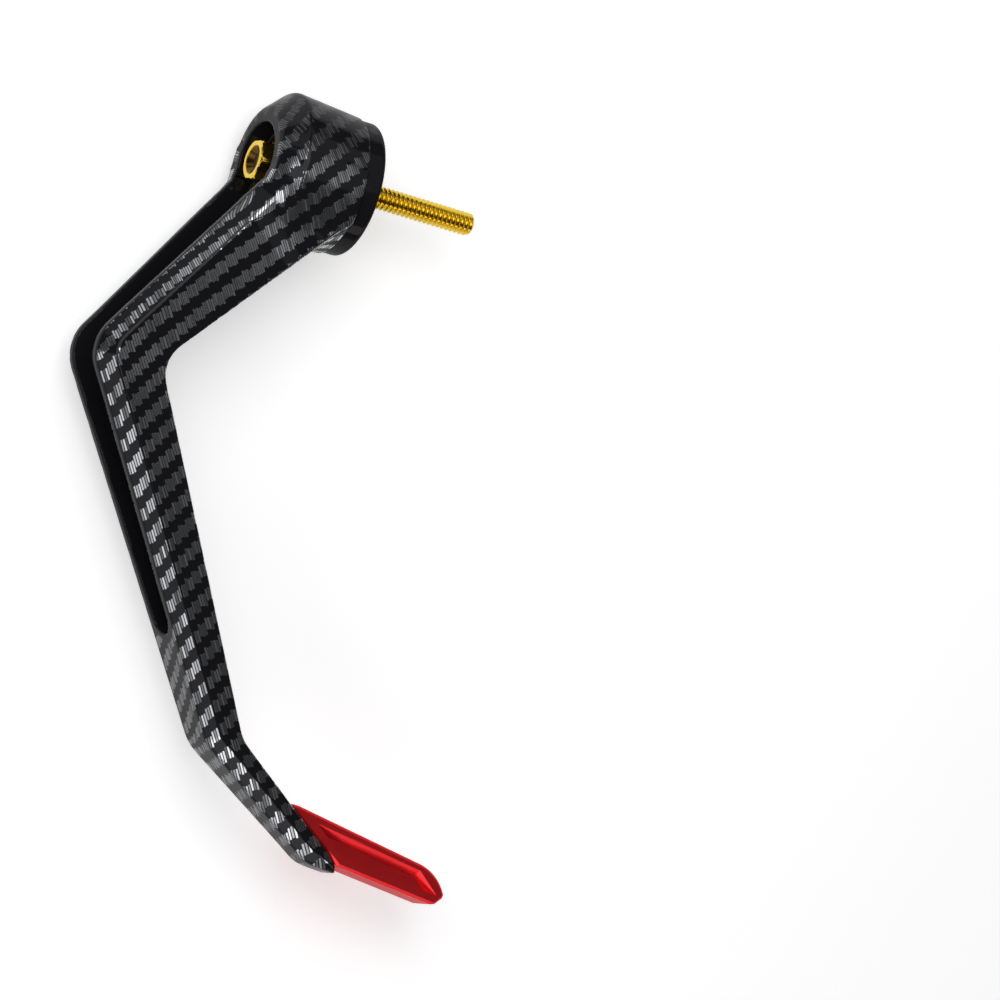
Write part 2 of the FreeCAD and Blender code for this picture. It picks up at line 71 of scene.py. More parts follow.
# head, recess and channel
RING_THICKNESS = 5.0
HEAD_DEPTH, HEAD_BEVEL_DEPTH = 28.5, 22.6
SEAM_RADIUS, CREASE_RADIUS, RIM_RADIUS = 17.9, 19.5, 14.0
RECESS_RADIUS, RECESS_FLOOR_ROUND, SEAT_DEPTH, HOLE_RADIUS = 10.2, 0.5, 22.8, 3.5
CHANNEL_WALL, CHANNEL_DEPTH, CHANNEL_FLOOR_ROUND = 2.4, 6.5, 2.0
CHANNEL_END_SHARE, CHANNEL_START = 0.68, -4.0
SCREW_SHARES = (0.76, 0.92)
PILOT_RADIUS, PILOT_DEPTH = 1.52, 3.15

# edge rounds of the moulding
CREASE_ROUND, INNER_EDGE_ROUND, END_ROUND = 0.4, 0.9, 0.5
HEAD_CREASE_ROUND, HEAD_RIM_ROUND, SEAM_ROUND = 0.6, 0.7, 0.35
LIP_ROUND, SHOULDER_FILLET = 0.4, 3.0

# grid on which the arm's distance is sampled, and how its points settle onto the surface
GRID_LOW, GRID_HIGH, GRID_STEP = (-64.0, -171.0, -21.0), (41.0, 21.5, 21.0), 0.55
SETTLE_ROUNDS, SLOPE_STEP, LEAST_STEEP = 2, 0.02, 0.25
TINY = 1e-6

# weave of the film: fibres run along the forearm
FIBRE_WAY = (-0.549, 0.836)
CROSS_WAY = (0.836, 0.549)
REPEAT = 6.1
COLUMN_NARROW, COLUMN_WIDE = 2.2, 3.1
STRETCH_FROM, STRETCH_TO = -70.0, -56.0
BEFORE_STRETCH, AFTER_STRETCH, FIRST_REPEAT = 60.0, 120.0, 50.0
FOLD_SHEAR = 0.27
# plan y over which the film passes from the arm to the round of the head
HEAD_BLEND = (-18.0, -8.0)
# plan y over which painted shade fades the film on the back of the head, and the share of the weave that is
# lost
SHADED_BACK, SHADED_BACK_LOSS = (-5.0, 9.0), 0.85
# outer face: distance forward over which painted shade fades the film, height at its edge, and the share
# lost
SHADED_FACE, SHADED_FACE_EDGE, SHADED_FACE_LOSS = (14.0, 24.0), (-0.2, 0.5), 0.6
# how much further the film reaches down the channel's lower wall
LOWER_LIP = 1.0

# bolt: its axis is the x axis, and its head ends in a dished top
SHANK_RADIUS, BOLT_RADIUS, BOLT_TIP, THREAD_FIRST = 3.2, 3.0, 33.2, 0.1
THREAD_PITCH, THREAD_DEPTH, THREAD_STEPS = 1.25, 0.62, 10
GROOVE_WIDTH, GROOVE_SLOPE = 1.25, 1.5
TIP_CHAMFER, TIP_SLOPE, TIP_FACE = 0.75, 0.9, 0.85
FLANGE_RADIUS, FLANGE_TOP_RADIUS = 7.1, 5.6
HEX_FLATS, HEAD_HEIGHT, HEX_CORNER_SHARE = 10.0, 6.6, 0.985
CAP_RADIUS = HEX_FLATS / 2 * 0.97
DISH_RADIUS, DISH_FLOOR, DISH_DEPTH = 3.9, 2.6, 1.6
ROUND_STEPS, POLE_RADIUS, SHARP_ANGLE = 120, 0.01, 38

# (depth below the top, radius) from the middle of the dish to the edge of the cap
DISH_PROFILE = (
    (DISH_DEPTH, POLE_RADIUS), (DISH_DEPTH, DISH_FLOOR / 2), (DISH_DEPTH, DISH_FLOOR),
    (0.25, DISH_RADIUS - 0.15), (0.05, DISH_RADIUS + 0.05), (0.0, DISH_RADIUS + 0.25),
    (0.0, CAP_RADIUS - 0.15), (0.05, CAP_RADIUS))
# (depth below the top, largest radius) where the cap is turned down to the hexagon's corners
CORNER_PROFILE = ((0.35, CAP_RADIUS + 0.45), (0.75, CAP_RADIUS + 0.9))
# (height above the seat, added radius, least radius) where the hexagon meets the flange
FOOT_PROFILE = ((2.35, 0.0, 0.0), (2.15, 0.08, 0.0), (2.05, 0.2, FLANGE_TOP_RADIUS))
# (height above the seat, radius) of the flange, down to the shank
FLANGE_PROFILE = (
    (1.3, FLANGE_RADIUS - 0.12), (1.15, FLANGE_RADIUS), (0.15, FLANGE_RADIUS),
    (0.0, FLANGE_RADIUS - 0.15), (0.0, SHANK_RADIUS))


def arc(before, here, after, radius, steps):
    """Points along the arc that rounds a corner of a plan line and touches both its sides."""
    before, here, after = (np.array(p, float) for p in (before, here, after))
    to_before = (before - here) / np.linalg.norm(before - here)
    to_after = (after - here) / np.linalg.norm(after - here)
    half = math.acos(float(to_before @ to_after)) / 2
    middle = (to_before + to_after) / np.linalg.norm(to_before + to_after)
    centre = here + middle * radius / math.sin(half)
    run = radius / math.tan(half)
    spoke = here + to_before * run - centre
    final = here + to_after * run - centre
    turn = math.atan2(spoke[0] * final[1] - spoke[1] * final[0], float(spoke @ final))
    angles = np.linspace(0.0, turn, steps)
    cos, sin = np.cos(angles), np.sin(angles)
    return centre + np.stack([cos * spoke[0] - sin * spoke[1], sin * spoke[0] + cos * spoke[1]], 1)


def mixed(a, b, shares):
    """Points these shares of the way from a to b."""
    a, b = np.array(a, float), np.array(b, float)
    return a + (b - a) * np.asarray(shares)[:, None]


def at_reach(bank, far, reach):
    """Points this far forward on the side of a plan line that runs from its bank to its far corner."""
    x = np.interp(reach, [-bank[1], -far[1]], [bank[0], far[0]])
    return np.stack([x, -reach], 1)


# points round each bend of a plan line
STEPS = 13
# how far the plan lines run on past both ends, and the plan y below which the end's cut counts
FAR, END_ZONE = 25.0, -130.0

shares = np.linspace(0.0, 1.0, STEPS)
reach = SHOULDER_REACH + (NECK_REACH - SHOULDER_REACH) * shares
flare_rim = NECK_RIM + (SHOULDER_RIM - NECK_RIM) * (1 - shares) ** 2
elbow_out = arc(OUTER_BANK, OUTER_ELBOW, OUTER_WRIST, ELBOW_ROUND, STEPS)
elbow_in = arc(INNER_BANK, INNER_ELBOW, INNER_WRIST, ELBOW_INNER_ROUND, STEPS)
wrist_out = arc(OUTER_ELBOW, OUTER_WRIST, OUTER_KNUCKLE, WRIST_ROUND, STEPS)
wrist_in = arc(INNER_ELBOW, INNER_WRIST, INNER_END, WRIST_INNER_ROUND, STEPS)
knuckle_out = arc(OUTER_WRIST, OUTER_KNUCKLE, OUTER_END, KNUCKLE_ROUND, STEPS)
knuckle_in = mixed(wrist_in[-1], INNER_END, np.linspace(KNUCKLE_INNER[0], KNUCKLE_INNER[1], STEPS))
end_way = np.array(OUTER_END) - knuckle_out[-1]
end_way = end_way / np.linalg.norm(end_way)
inner_way = np.array(INNER_END) - wrist_in[-1]
inner_way = inner_way / np.linalg.norm(inner_way)

outer_line = np.vstack([
    [(OUTER_ROOT[0], FAR)], [OUTER_ROOT], at_reach(OUTER_BANK, OUTER_ELBOW, reach),
    elbow_out, wrist_out, knuckle_out, [OUTER_END], [np.array(OUTER_END) + end_way * FAR]])
inner_line = np.vstack([
    [(INNER_ROOT[0], FAR)], [INNER_ROOT], at_reach(INNER_BANK, INNER_ELBOW, reach),
    elbow_in, wrist_in, knuckle_in, [INNER_END], [np.array(INNER_END) + inner_way * FAR]])
middle_line = (outer_line + inner_line) / 2
flat = np.ones(STEPS)
rung_rim = np.concatenate([
    [SHOULDER_RIM] * 2, flare_rim, ELBOW_RIM * flat, WRIST_RIM * flat, KNUCKLE_RIM * flat,
    [END_RIM] * 2])
rung_bevel = np.concatenate([
    [NECK_BEVEL] * 2, NECK_BEVEL * flat, ELBOW_BEVEL * flat, WRIST_BEVEL * flat, KNUCKLE_BEVEL * flat,
    [END_BEVEL] * 2])
middle_runs = np.linalg.norm(np.diff(middle_line, axis=0), axis=1)
middle_length = np.concatenate([[0.0], np.cumsum(middle_runs)])
# index of the elbow's last point, where the forearm starts
FOREARM_FIRST = 2 + 2 * STEPS - 1
channel_mark = mixed(outer_line[FOREARM_FIRST], outer_line[FOREARM_FIRST + 1], [CHANNEL_END_SHARE])


def beside(line, points):
    """Signed distance of points from a plan line, with the run along it and the left-hand normal there.

    Each straight piece gives its nearest point, and the nearest of all counts. Left is positive."""
    best = np.full(len(points), np.inf)
    signed = np.zeros(len(points))
    run = np.zeros(len(points))
    normal = np.zeros((len(points), 2))
    start_run = 0.0
    for a, b in zip(line[:-1], line[1:]):
        way = b - a
        length = float(np.linalg.norm(way))
        if length < TINY:
            continue
        way = way / length
        left = np.array([-way[1], way[0]])
        offset = points - a
        along = np.clip(offset @ way, 0.0, length)
        gap = offset - along[:, None] * way
        far = np.hypot(gap[:, 0], gap[:, 1])
        nearer = far < best
        best[nearer] = far[nearer]
        signed[nearer] = (np.where(offset @ left < 0, -1.0, 1.0) * far)[nearer]
        run[nearer] = start_run + along[nearer]
        normal[nearer] = left
        start_run += length
    return signed, run, normal


channel_end = float(beside(middle_line, channel_mark)[1][0])


class Plan:
    """What the arm's plan gives at points: distances inside both faces, run, rim, bevel and normals."""

    def __init__(self, points):
        self.x, self.y = points[:, 0], points[:, 1]
        self.out, _, left = beside(outer_line, points)
        self.out_normal = -left
        right, _, inner_left = beside(inner_line, points)
        self.inn = -right
        self.in_normal = inner_left
        _, self.run, _ = beside(middle_line, points)
        self.rim = np.interp(self.run, middle_length, rung_rim)
        self.bevel = np.interp(self.run, middle_length, rung_bevel)
        self.mouth = np.interp(np.minimum(self.run, channel_end), middle_length, rung_rim) - CHANNEL_WALL
        cut = np.array(INNER_END) - np.array(OUTER_END)
        cut = cut / np.linalg.norm(cut)
        past = np.array([-cut[1], cut[0]])
        past = past * np.sign(past @ end_way)
        self.end = np.minimum((points - np.array(OUTER_END)) @ past, END_ZONE - self.y)
        screw_from, screw_to = np.array(INNER_WRIST), np.array(INNER_END)
        joint_way = (screw_to - screw_from) / np.linalg.norm(screw_to - screw_from)
        into_arm = np.array([joint_way[1], -joint_way[0]])
        self.pilots = []
        for share in SCREW_SHARES:
            offset = points - (screw_from + (screw_to - screw_from) * share)
            self.pilots.append((offset @ joint_way, offset @ into_arm))

    def shaped(self, shape):
        """The same plan spread over a grid."""
        for name, value in list(vars(self).items()):
            if name == "pilots":
                self.pilots = [(a.reshape(shape), b.reshape(shape)) for a, b in value]
            elif value.ndim == 1:
                setattr(self, name, value.reshape(shape))
        return self


def round_both(a, b, radius):
    """Distance to what two forms share, its edge rounded to this radius."""
    edge = np.hypot(np.maximum(a + radius, 0), np.maximum(b + radius, 0))
    return np.minimum(np.maximum(a, b), -radius) + edge


def round_either(a, b, radius):
    """Distance to two forms together, the corner between them filled to this radius."""
    return -round_both(-a, -b, radius)


def pit_gap(plan, z):
    """Distance to what is cut from the arm: channel, round recess, bolt hole and screw holes."""
    rho = np.hypot(plan.y, z)
    slot = np.hypot(np.maximum(plan.run - channel_end, 0), z) - plan.mouth
    channel = round_both(slot, plan.out - CHANNEL_DEPTH, CHANNEL_FLOOR_ROUND)
    channel = np.maximum(channel, plan.y - CHANNEL_START)
    recess = round_both(rho - RECESS_RADIUS, plan.x + SEAT_DEPTH, RECESS_FLOOR_ROUND)
    hole = np.maximum(rho - HOLE_RADIUS, plan.x)
    pit = np.minimum(np.minimum(channel, recess), hole)
    for across, deep in plan.pilots:
        drill = np.maximum(np.hypot(across, z) - PILOT_RADIUS, np.abs(deep) - PILOT_DEPTH)
        pit = np.minimum(pit, drill)
    return pit


def arm_gap(plan, z):
    """Signed distance to the arm.

    The limb is where a point lies inside the outer face, the 45 degree bevel, the top and bottom, the
    inner face and the end. The head is a cone with a bevelled rim. Both are joined with a fillet, the
    head's flat faces trim the limb, and the pit is taken out, each edge with its own round."""
    high = np.abs(z)
    bevel = (high - plan.rim - plan.out) / SQRT2
    limb = round_both(-plan.out, bevel, CREASE_ROUND)
    limb = round_both(limb, high - plan.rim - plan.bevel, CREASE_ROUND)
    limb = round_both(limb, -plan.inn, INNER_EDGE_ROUND)
    limb = round_both(limb, plan.end, END_ROUND)
    limb = np.maximum(limb, plan.y - OUTER_ROOT[1])

    rho = np.hypot(plan.y, z)
    back = HEAD_BEVEL_DEPTH - RING_THICKNESS
    rise = CREASE_RADIUS - SEAM_RADIUS
    side = (rho - SEAM_RADIUS) * back + (plan.x + RING_THICKNESS) * rise
    side = side / math.hypot(back, rise)
    out_run, in_run = HEAD_DEPTH - HEAD_BEVEL_DEPTH, CREASE_RADIUS - RIM_RADIUS
    slope = (rho - CREASE_RADIUS) * out_run - (plan.x + HEAD_BEVEL_DEPTH) * in_run
    slope = slope / math.hypot(out_run, in_run)
    face = -HEAD_DEPTH - plan.x
    head = round_both(side, slope, HEAD_CREASE_ROUND)
    head = round_both(head, face, HEAD_RIM_ROUND)
    seam = plan.x + RING_THICKNESS
    head = round_both(head, seam, SEAM_ROUND)

    body = round_either(limb, head, SHOULDER_FILLET)
    body = np.maximum(body, np.minimum(face, -plan.out))
    body = np.maximum(body, np.minimum(seam, plan.y - OUTER_ROOT[1] + FAR))
    return round_both(body, -pit_gap(plan, z), LIP_ROUND)


def surface_of(gap, low, step):
    """Quads where a sampled distance crosses zero: one point in each crossed cell, at the mean crossing."""
    inside = gap < 0
    count = np.zeros(tuple(n - 1 for n in gap.shape), np.uint8)
    corners = [(i, j, k) for i in (0, 1) for j in (0, 1) for k in (0, 1)]
    for i, j, k in corners:
        count += inside[i:i + count.shape[0], j:j + count.shape[1], k:k + count.shape[2]]
    crossed = (count > 0) & (count < len(corners))
    cells = np.argwhere(crossed)
    index = np.full(count.shape, -1, np.int32)
    index[crossed] = np.arange(len(cells))
    total = np.zeros((len(cells), 3))
    hits = np.zeros(len(cells))
    for axis in range(3):
        step_way = np.eye(3, dtype=int)[axis]
        for corner in corners:
            if corner[axis]:
                continue
            a = cells + corner
            b = a + step_way
            ga = gap[a[:, 0], a[:, 1], a[:, 2]]
            gb = gap[b[:, 0], b[:, 1], b[:, 2]]
            cut = (ga < 0) != (gb < 0)
            share = ga[cut] / (ga[cut] - gb[cut])
            total[cut] += np.array(corner) + share[:, None] * step_way
            hits[cut] += 1
    points = np.array(low) + step * (cells + total / hits[:, None])
    quads = []
    for axis in range(3):
        b, c = (axis + 1) % 3, (axis + 2) % 3
        first = np.moveaxis(inside, axis, 0)[:-1]
        second = np.moveaxis(inside, axis, 0)[1:]
        edges = np.argwhere(np.moveaxis(first != second, 0, axis))
        keep = (edges[:, b] > 0) & (edges[:, c] > 0)
        keep &= (edges[:, b] < count.shape[b]) & (edges[:, c] < count.shape[c])
        edges = edges[keep]
        ring = []
        for db, dc in ((0, 0), (1, 0), (1, 1), (0, 1)):
            cell = edges.copy()
            cell[:, b] -= db
            cell[:, c] -= dc
            ring.append(index[cell[:, 0], cell[:, 1], cell[:, 2]])
        ring = np.stack(ring, 1)
        outward = inside[edges[:, 0], edges[:, 1], edges[:, 2]]
        ring[~outward] = ring[~outward][:, ::-1]
        quads.append(ring)
    return points, np.vstack(quads)


def arm_at(points):
    """Signed distance to the arm at points in space."""
    return arm_gap(Plan(points[:, :2]), points[:, 2])


def slope_at(points, here):
    """Gradient of the arm's distance by small steps along each axis."""
    ahead = [arm_at(points + SLOPE_STEP * way) for way in np.eye(3)]
    return np.stack([(there - here) / SLOPE_STEP for there in ahead], 1)


def arm_surface():
    """Points, quads and normals of the arm: the zero surface of its distance, each point settled onto it."""
    low, high = np.array(GRID_LOW), np.array(GRID_HIGH)
    counts = np.ceil((high - low) / GRID_STEP).astype(int)
    axes = [low[i] + GRID_STEP * np.arange(counts[i]) for i in range(3)]
    grid_x, grid_y = np.meshgrid(axes[0], axes[1], indexing="ij")
    plan = Plan(np.stack([grid_x.ravel(), grid_y.ravel()], 1)).shaped((counts[0], counts[1], 1))
    gap = arm_gap(plan, axes[2][None, None, :])
    points, quads = surface_of(gap, low, GRID_STEP)
    for _ in range(SETTLE_ROUNDS):
        here = arm_at(points)
        slope = slope_at(points, here)
        steep = np.maximum((slope ** 2).sum(1), LEAST_STEEP)
        move = np.clip(here / steep, -GRID_STEP / 2, GRID_STEP / 2)
        points = points - move[:, None] * slope
    slope = slope_at(points, arm_at(points))
    normals = slope / np.maximum(np.linalg.norm(slope, axis=1), TINY)[:, None]
    return points, quads, normals


def eased(value, low, high):
    """Smooth step from 0 at low to 1 at high."""
    share = np.clip((value - low) / (high - low), 0, 1)
    return share * share * (3 - 2 * share)


def film_painted_shade(points):
    """How plainly the weave shows: faded on the back of the head and on the outer face past the head, as
    painted shade that renders these faces darker.
    """
    plan = Plan(points[:, :2])
    back_shade = eased(plan.y, *SHADED_BACK)
    face_shade = (plan.out < plan.inn) * eased(plan.rim - np.abs(points[:, 2]), *SHADED_FACE_EDGE)
    face_shade = face_shade * eased(-plan.y, *SHADED_FACE)
    return (1 - SHADED_BACK_LOSS * back_shade) * (1 - SHADED_FACE_LOSS * face_shade)


def crease_gap(points):
    """Signed distance in plan from the crease above the bevel, round the head as along the arm."""
    plan = Plan(points[:, :2])
    round_head = eased(plan.y, *HEAD_BLEND)
    return (plan.out - plan.bevel) * (1 - round_head) + (plan.x + HEAD_BEVEL_DEPTH) * round_head


def weave_of(points):
    """Column and repeat of the film's weave at points of the arm.

    The film lies flat on the top face, as seen in plan, and is folded down over the bevel and the
    faces: a point below the crease is pushed outwards by the length of film that the plan hides.
    Each face's film meets the underside at its lower edge. Round the head, the plan's y is the arc
    length round the bolt's axis."""
    plan = Plan(points[:, :2])
    z = points[:, 2]
    outer_side = plan.out < plan.inn
    lower_edge = np.where(outer_side, -plan.rim, SEAM_ROUND - plan.rim - plan.bevel)
    from_top = np.where(z > lower_edge, z, np.abs(z))
    drop = np.maximum(plan.rim + plan.bevel - from_top, 0)
    on_bevel, below = np.minimum(drop, plan.bevel), np.maximum(drop - plan.bevel, 0)
    hidden = (SQRT2 - 1) * on_bevel + below
    push = np.where(outer_side, hidden, drop)[:, None]
    push = push * np.where(outer_side[:, None], plan.out_normal, plan.in_normal)
    limb = points[:, :2] + push
    back_of = np.maximum(-HEAD_BEVEL_DEPTH - plan.x, 0)
    head_x = plan.x - (SQRT2 - 1) * back_of
    head_y = CREASE_RADIUS * np.arctan2(plan.y, np.where(plan.y > 0, z, np.abs(z)))
    head = np.stack([head_x, head_y], 1)
    blend = eased(plan.y, *HEAD_BLEND)[:, None]
    flat_spot = limb * (1 - blend) + head * blend
    across = flat_spot @ np.array(CROSS_WAY)
    folded = np.where(outer_side, SQRT2 * on_bevel + below, 0)
    along = flat_spot @ np.array(FIBRE_WAY) + FOLD_SHEAR * folded * (1 - blend[:, 0])
    runs = np.array([BEFORE_STRETCH, STRETCH_TO - STRETCH_FROM, AFTER_STRETCH])
    mean = (COLUMN_NARROW + COLUMN_WIDE) / 2
    marks = STRETCH_FROM - BEFORE_STRETCH + np.concatenate([[0], np.cumsum(runs)])
    columns = runs / np.array([COLUMN_NARROW, mean, COLUMN_WIDE])
    column = np.interp(across, marks, np.concatenate([[0], np.cumsum(columns)]))
    return np.stack([column, along / REPEAT + FIRST_REPEAT], 1)


def mesh_piece(name, points, quads, normals=None):
    """A mesh object at the origin from arrays in millimetres."""
    mesh = bpy.data.meshes.new(name)
    mesh.vertices.add(len(points))
    mesh.vertices.foreach_set("co", (np.asarray(points) * MM).astype(np.float32).ravel())
    mesh.loops.add(quads.size)
    mesh.loops.foreach_set("vertex_index", quads.astype(np.int32).ravel())
    mesh.polygons.add(len(quads))
    mesh.polygons.foreach_set("loop_start", np.arange(0, quads.size, quads.shape[1], dtype=np.int32))
    mesh.update(calc_edges=True)
    mesh.validate()
    mesh.shade_smooth()
    if normals is not None:
        mesh.normals_split_custom_set_from_vertices([tuple(n) for n in normals])
    made = bpy.data.objects.new(name, mesh)
    bpy.context.scene.collection.objects.link(made)
    return made


# materials


class Nodes:
    """Short calls that add nodes to one material."""

    def __init__(self, name):
        self.material = bpy.data.materials.new(name)
        self.material.use_nodes = True
        self.tree = self.material.node_tree
        self.surface = self.tree.nodes["Principled BSDF"]

    def add(self, kind, **values):
        node = self.tree.nodes.new(kind)
        for key, value in values.items():
            setattr(node, key, value)
        return node

    def join(self, source, target):
        self.tree.links.new(source, target)

    def feed(self, socket, value):
        """Links a socket to another, or sets it to a constant."""
        if isinstance(value, bpy.types.NodeSocket):
            self.join(value, socket)
        else:
            socket.default_value = value

    def math(self, operation, *inputs):
        node = self.add("ShaderNodeMath", operation=operation)
        for socket, value in zip(node.inputs, inputs):
            self.feed(socket, value)
        return node.outputs[0]

    def mix(self, share, first, second, kind="RGBA"):
        """A colour this share of the way from the first to the second."""
        node = self.add("ShaderNodeMix", data_type=kind)
        self.feed(node.inputs["Factor"], share)
        self.feed(node.inputs["A"], first)
        self.feed(node.inputs["B"], second)
        return node.outputs["Result"]

    def blend(self, share, first, second):
        """A number this share of the way from the first to the second."""
        return self.mix(share, first, second, "FLOAT")

    def ramp(self, value, low, high):
        """Smooth step from 0 at low to 1 at high."""
        node = self.add("ShaderNodeMapRange", interpolation_type="SMOOTHSTEP")
        self.feed(node.inputs["Value"], value)
        node.inputs["From Min"].default_value = low
        node.inputs["From Max"].default_value = high
        return node.outputs["Result"]

    def random(self, *inputs):
        """A random number from 0 to 1 that belongs to two whole numbers."""
        node = self.add("ShaderNodeTexWhiteNoise", noise_dimensions="2D")
        joined = self.add("ShaderNodeCombineXYZ")
        for socket, value in zip(joined.inputs, inputs):
            self.feed(socket, value)
        self.join(joined.outputs[0], node.inputs["Vector"])
        return node.outputs["Value"]

    def split(self, source):
        """The three coordinates of a vector."""
        node = self.add("ShaderNodeSeparateXYZ")
        self.join(source, node.inputs[0])
        return node.outputs

    def place(self):
        """Object coordinates, in metres."""
        return self.add("ShaderNodeTexCoord").outputs["Object"]

    def layer(self, name):
        """A number stored at the mesh's points."""
        return self.add("ShaderNodeAttribute", attribute_name=name).outputs["Fac"]

    def run(self, x, y, way):
        """Distance of a plan point along a direction."""
        return self.math("ADD", self.math("MULTIPLY", x, way[0]), self.math("MULTIPLY", y, way[1]))

    def noise(self, scale, detail=2.0, stretch=(1, 1, 1), turn=(0, 0, 0)):
        mapping = self.add("ShaderNodeMapping")
        mapping.inputs["Scale"].default_value = stretch
        mapping.inputs["Rotation"].default_value = turn
        self.join(self.place(), mapping.inputs["Vector"])
        node = self.add("ShaderNodeTexNoise")
        node.inputs["Scale"].default_value = scale
        node.inputs["Detail"].default_value = detail
        self.join(mapping.outputs[0], node.inputs["Vector"])
        return node.outputs["Fac"]

    def bump(self, height, strength, distance):
        node = self.add("ShaderNodeBump")
        node.inputs["Strength"].default_value = strength
        node.inputs["Distance"].default_value = distance
        self.join(height, node.inputs["Height"])
        self.join(node.outputs[0], self.surface.inputs["Normal"])

    def set(self, **values):
        """Sets the surface's sockets; an underscore stands for a space."""
        for key, value in values.items():
            self.feed(self.surface.inputs[key.replace("_", " ")], value)


FILM_BLACK = (0.0085, 0.0085, 0.0105, 1)
FIBRE_SILVER = (0.49, 0.50, 0.525, 1)
FILM_ROUGH, FIBRE_ROUGH, FIBRE_METAL = 0.30, 0.17, 1.6
ARM_COAT, RING_COAT, COAT_ROUGH, COAT_IOR = 0.4, 0.25, 0.07, 1.42
# lines in a column, and the column from which there are more of them
LINES_NARROW, LINES_WIDE, WIDE_FROM = 3.0, 5.0, 30.0
COLUMNS_PER_REPEAT = 6.0
# in shares of a repeat: middle and edge of the bright half, and how unevenly lines start
BRIGHT_MIDDLE, BRIGHT_EDGE, UNEVEN_STARTS = 0.25, (0.265, 0.225), 0.07
# in shares of a line's width: its middle and its edge
LINE_MIDDLE, LINE_EDGE = 0.5, (0.44, 0.20)
# mean of a random number, seed of a line's start, and the ramp that gives a fibre's brightness
RANDOM_MEAN, START_SEED, FIBRE_RANGE = 0.5, 3.0, (-0.30, 1.0)
# millimetres over which the film starts at the lip, and beside the crease's dark line
LIP_FADE, CREASE_LINE = 0.3, (0.15, 0.32)
# film on the ring: its cloudy wear, its first column, and the x where it stops short of the flat face
RING_CLOUD, RING_WEAR, RING_FIRST_COLUMN, RING_FILM_TO = 90.0, (0.40, 1.9), 50.0, -0.9

GOLD_DEEP, GOLD_PALE = (0.70, 0.47, 0.030, 1), (0.84, 0.58, 0.060, 1)
# dark brown painted into the dish of the bolt's head: a painted dark reflection of the recess round it
DISH_PAINTED_DARK = (0.10, 0.055, 0.012, 1)
GOLD_CLOUD, GOLD_ROUGH, GOLD_BUMP = (260.0, 3.0), (0.14, 0.26), (0.05, 0.0002)
# millimetres over which the painted dark reflection in the dish fades in, and how far above the seat it may
# start
DISH_FADE, DISH_ABOVE_SEAT = 0.25, 1.0

RED_DEEP, RED_BRIGHT = (0.80, 0.026, 0.032, 1), (0.90, 0.036, 0.042, 1)
RED_EDGE = (0.55, 0.05, 0.055, 1)
RED_METAL, RED_ROUGH, RED_CLOUD = 0.7, (0.20, 0.32), 120.0
# brushing of the blade: scale, detail, stretch and turn
BRUSH, BRUSH_BUMP = (300.0, 3.0, (0.06, 1.0, 1.0), (0, 0, 0.3)), (0.07, 0.0001)

STEEL_DARK, STEEL_PALE = (0.05, 0.05, 0.055, 1), (0.14, 0.14, 0.15, 1)
STEEL_CLOUD, STEEL_ROUGH = (500.0, 3.0), (0.28, 0.42)


def weave_share(nodes, column, repeat):
    """How much of a bright fibre shows at a column and repeat of the weave.

    Each column holds fine lines side by side. A line is bright over the first half of each repeat, and
    the start moves by a sixth of a repeat from one column to the next, which makes the diagonal steps."""
    step = nodes.math("FLOOR", column)
    extra = nodes.math("MAXIMUM", nodes.math("SUBTRACT", column, WIDE_FROM), 0.0)
    extra = nodes.math("MULTIPLY", extra, LINES_WIDE - LINES_NARROW)
    line_run = nodes.math("ADD", nodes.math("MULTIPLY", column, LINES_NARROW), extra)
    line = nodes.math("FLOOR", line_run)
    in_line = nodes.math("SUBTRACT", line_run, line)
    uneven = nodes.math("SUBTRACT", nodes.random(line, START_SEED), RANDOM_MEAN)
    shifted = nodes.math("SUBTRACT", repeat, nodes.math("DIVIDE", step, COLUMNS_PER_REPEAT))
    shifted = nodes.math("ADD", shifted, nodes.math("MULTIPLY", uneven, UNEVEN_STARTS))
    row = nodes.math("FLOOR", shifted)
    in_row = nodes.math("SUBTRACT", shifted, row)
    off_middle = nodes.math("ABSOLUTE", nodes.math("SUBTRACT", in_row, BRIGHT_MIDDLE))
    bright = nodes.ramp(off_middle, *BRIGHT_EDGE)
    off_line = nodes.math("ABSOLUTE", nodes.math("SUBTRACT", in_line, LINE_MIDDLE))
    thread = nodes.ramp(off_line, *LINE_EDGE)
    own = nodes.ramp(nodes.random(line, row), *FIBRE_RANGE)
    share = nodes.math("MULTIPLY", bright, thread)
    return nodes.math("MULTIPLY", share, own)


def film_material(nodes, column, repeat, film, coat):
    """Silver fibres on black under a clear coat; film is how plainly the weave shows."""
    share = weave_share(nodes, column, repeat)
    share = nodes.math("MULTIPLY", share, film)
    nodes.set(
        Base_Color=nodes.mix(share, FILM_BLACK, FIBRE_SILVER),
        Metallic=nodes.math("MINIMUM", nodes.math("MULTIPLY", share, FIBRE_METAL), 1.0),
        Roughness=nodes.blend(share, FILM_ROUGH, FIBRE_ROUGH), Specular_IOR_Level=0.0,
        Coat_Weight=coat, Coat_Roughness=COAT_ROUGH, Coat_IOR=COAT_IOR)
    return nodes.material


def arm_material():
    """The film on the arm, plain black in the channel and along the crease, and faded by painted shade on
    the back of the head and the outer face.
    """
    nodes = Nodes("carbon_film")
    weave = nodes.split(nodes.add("ShaderNodeUVMap", uv_map="weave").outputs[0])
    film = nodes.ramp(nodes.layer("lip"), CHANNEL_WALL, CHANNEL_WALL + LIP_FADE)
    # painted shade: the weave fades on the back of the head and on the outer face past the head
    film = nodes.math("MULTIPLY", film, nodes.layer("painted_shade"))
    off_crease = nodes.math("ABSOLUTE", nodes.layer("crease"))
    film = nodes.math("MULTIPLY", film, nodes.ramp(off_crease, *CREASE_LINE))
    return film_material(nodes, weave[0], weave[1], film, ARM_COAT)


